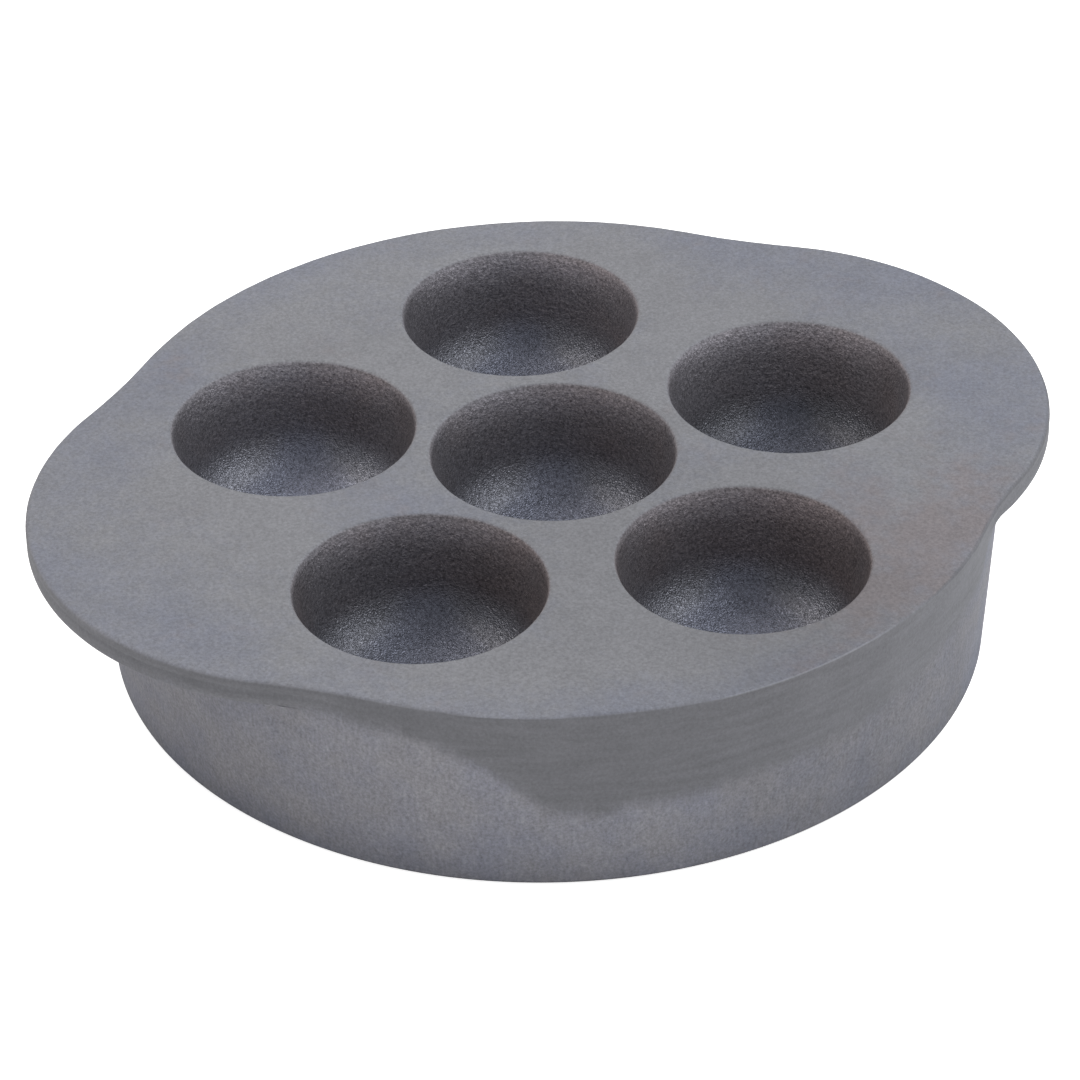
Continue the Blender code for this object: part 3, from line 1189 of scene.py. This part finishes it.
    @staticmethod
    def marks(iron: IronGraph) -> Value:
        """Return how much lighter or darker marks and painted light make the iron: belt streaks, runs and
        grain, a painted highlight and painted shade on the plate's edge rounding, and painted shade along
        the foot.

        Args:
            iron: The material's nodes.
        """
        streaks = 0.20 * iron.mottle((9.0, 9.0, 1.1), detail=3.0, shift=9.0) * iron.band
        runs = 0.28 * iron.mottle((0.5, 0.5, 1.3), detail=3.0, shift=10.0) * iron.cast_wall
        clouds = 0.12 * iron.mottle(6.0, detail=4.0, shift=5.0)
        strength = 0.50 + 0.75 * iron.well - 0.22 * iron.band
        grain = strength * iron.mottle(0.42, detail=2.0, roughness=0.7, shift=6.0)
        # Painted highlight on the plate's edge rounding near the middle across X, and painted shade on it
        # further right.
        painted_edge_highlight = 0.30 * iron.x.hump(-7.0, 0.0, 20.0, 27.0)
        edge = iron.rounding * (painted_edge_highlight - 0.20 * iron.x.rise(27.0, 36.0))
        # Painted shade along the bottom of the foot.
        painted_foot_shade = 0.45 * iron.below_top.rise(28.1, 28.7)
        return streaks + runs + clouds + grain + edge - painted_foot_shade

    @staticmethod
    def relief(iron: IronGraph) -> Value:
        """Return the height of the surface's grain in millimetres.

        Args:
            iron: The material's nodes.
        """
        size = 0.028 + 0.024 * iron.well + 0.050 * iron.well * iron.deep
        sand = size * iron.mottle(0.25, detail=1.0, roughness=0.6, shift=11.0)
        lumps = 0.07 * iron.mottle(0.7, detail=1.0, shift=16.0) * iron.well * (1.0 - iron.deep)
        belt = 0.020 * iron.mottle((6.0, 6.0, 0.4), shift=13.0) * iron.band
        return sand * (1.0 - 0.5 * iron.band) + lumps + belt


def aimed(
    data: bpy.types.Light | bpy.types.Camera,
    aim: Vector,
    azimuth: float,
    elevation: float,
    distance: float,
    roll: float = 0.0,
) -> bpy.types.Object:
    """Put a lamp or a camera up, turned to a point.

    Args:
        data: The lamp or the camera.
        aim: The point that it is turned to.
        azimuth: Where it stands round that point, in degrees from -Y.
        elevation: How high it stands, in degrees.
        distance: How far from the point it stands.
        roll: How far it is turned about its own axis, in degrees.

    Returns:
        The lamp's or the camera's object.
    """
    a, e = math.radians(azimuth), math.radians(elevation)
    away = Vector((math.sin(a) * math.cos(e), -math.cos(a) * math.cos(e), math.sin(e)))
    level = away.to_track_quat("Z", "Y").to_matrix().to_4x4()
    stood = bpy.data.objects.new(data.name, data)
    stood.location = aim + away * distance
    stood.rotation_euler = (level @ Matrix.Rotation(math.radians(roll), 4, "Z")).to_euler()
    bpy.context.scene.collection.objects.link(stood)
    return stood


@dataclass(frozen=True)
class Softbox:
    """A square softbox that is turned towards the dish."""

    name: str
    azimuth: float
    elevation: float
    watts: float
    distance: float = 0.9
    size: float = 0.30
    tint: Colour = (1.0, 1.0, 1.0)

    def hang(self, aim: Vector) -> bpy.types.Object:
        """Hang the softbox.

        Args:
            aim: The point that it lights.

        Returns:
            The lamp.
        """
        data = bpy.data.lights.new(self.name, "AREA")
        data.shape = "SQUARE"
        data.size = self.size
        data.energy = self.watts
        data.color = self.tint
        return aimed(data, aim, self.azimuth, self.elevation, self.distance)


@dataclass(frozen=True)
class Studio:
    """The floor, the pale surroundings and the softboxes."""

    floor_reach: float = 3.0
    floor_white: float = 0.88
    floor_glow: float = 0.75
    surround: float = 0.70
    boxes: tuple[Softbox, ...] = (
        Softbox("right_softbox", azimuth=82.0, elevation=52.0, watts=3.4, tint=(0.95, 0.98, 1.0)),
        Softbox("left_softbox", azimuth=-145.0, elevation=52.0, watts=3.4, tint=(1.0, 0.96, 0.91)),
        Softbox("low_right_softbox", azimuth=75.0, elevation=12.0, watts=1.7, distance=1.0, size=0.50),
    )

    def lay_floor(self) -> bpy.types.Object:
        """Lay the pale floor, white to the camera apart from the dish's soft shadow."""
        deselect_everything()
        bpy.ops.mesh.primitive_plane_add(size=2.0 * self.floor_reach, location=(0.0, 0.0, 0.0))
        floor = bpy.context.object
        floor.name = "studio_floor"
        graph = ShaderGraph(bpy.data.materials.new("pale_floor"))
        matte = graph.node("ShaderNodeBsdfDiffuse", sockets={"Color": (*(self.floor_white,) * 3, 1.0)})
        glow = graph.node("ShaderNodeEmission", sockets={"Strength": self.floor_glow})
        both = graph.node("ShaderNodeAddShader", sockets={0: matte.outputs[0], 1: glow.outputs[0]})
        floor.data.materials.append(graph.finish(graph.seen_otherwise(matte, both)))
        return floor

    def wrap_in_light(self) -> None:
        """Surround the dish with even soft light that the camera sees as white."""
        graph = ShaderGraph(bpy.data.worlds.new("pale_surroundings"))
        soft = graph.node("ShaderNodeBackground", sockets={"Strength": self.surround})
        white = graph.node("ShaderNodeBackground", sockets={"Strength": 1.0})
        bpy.context.scene.world = graph.finish(graph.seen_otherwise(soft, white))

    def set_up(self, aim: Vector) -> None:
        """Lay the floor and light the dish.

        Args:
            aim: The point that the softboxes are turned to.
        """
        self.lay_floor()
        self.wrap_in_light()
        for box in self.boxes:
            box.hang(aim)
            LOG.info("%s: %.1f W", box.name, box.watts)


@dataclass(frozen=True)
class Viewpoint:
    """The camera that looks down on the dish from its front, a little to the left."""

    azimuth: float = -22.757
    elevation: float = 34.58
    roll: float = -1.18
    distance: float = 609.33 * MM
    aim: tuple[float, float, float] = (-9.937 * MM, -21.008 * MM, 28.75 * MM)
    lens: float = 146.588
    sensor: float = 36.0

    def place(self) -> bpy.types.Object:
        """Set the camera up and make it the scene's."""
        data = bpy.data.cameras.new("viewpoint")
        data.lens = self.lens
        data.sensor_width = self.sensor
        data.clip_start = 10.0 * MM
        camera = aimed(data, Vector(self.aim), self.azimuth, self.elevation, self.distance, self.roll)
        bpy.context.scene.camera = camera
        return camera


def main() -> None:
    """Build the dish round the frame, dress it, light it and set up the camera."""
    logging.basicConfig(level=logging.INFO, format="%(name)s: %(message)s")
    bpy.context.scene.view_settings.view_transform = "Standard"
    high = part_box(NODE)[1]
    dish = DishCasting(height=high.z, outline=EarOutline(high.y, high.x), band=GroundBand())
    casting = dish.build()
    casting.data.materials.clear()
    casting.data.materials.append(CastIronFinish().material(dish))
    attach(casting, "root")
    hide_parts(NODE)
    LOG.info("%s: %d faces", casting.name, len(casting.data.polygons))

    Studio().set_up(Vector((0.0, 0.0, 0.5 * dish.height)))
    Viewpoint().place()


if __name__ == "__main__":
    main()
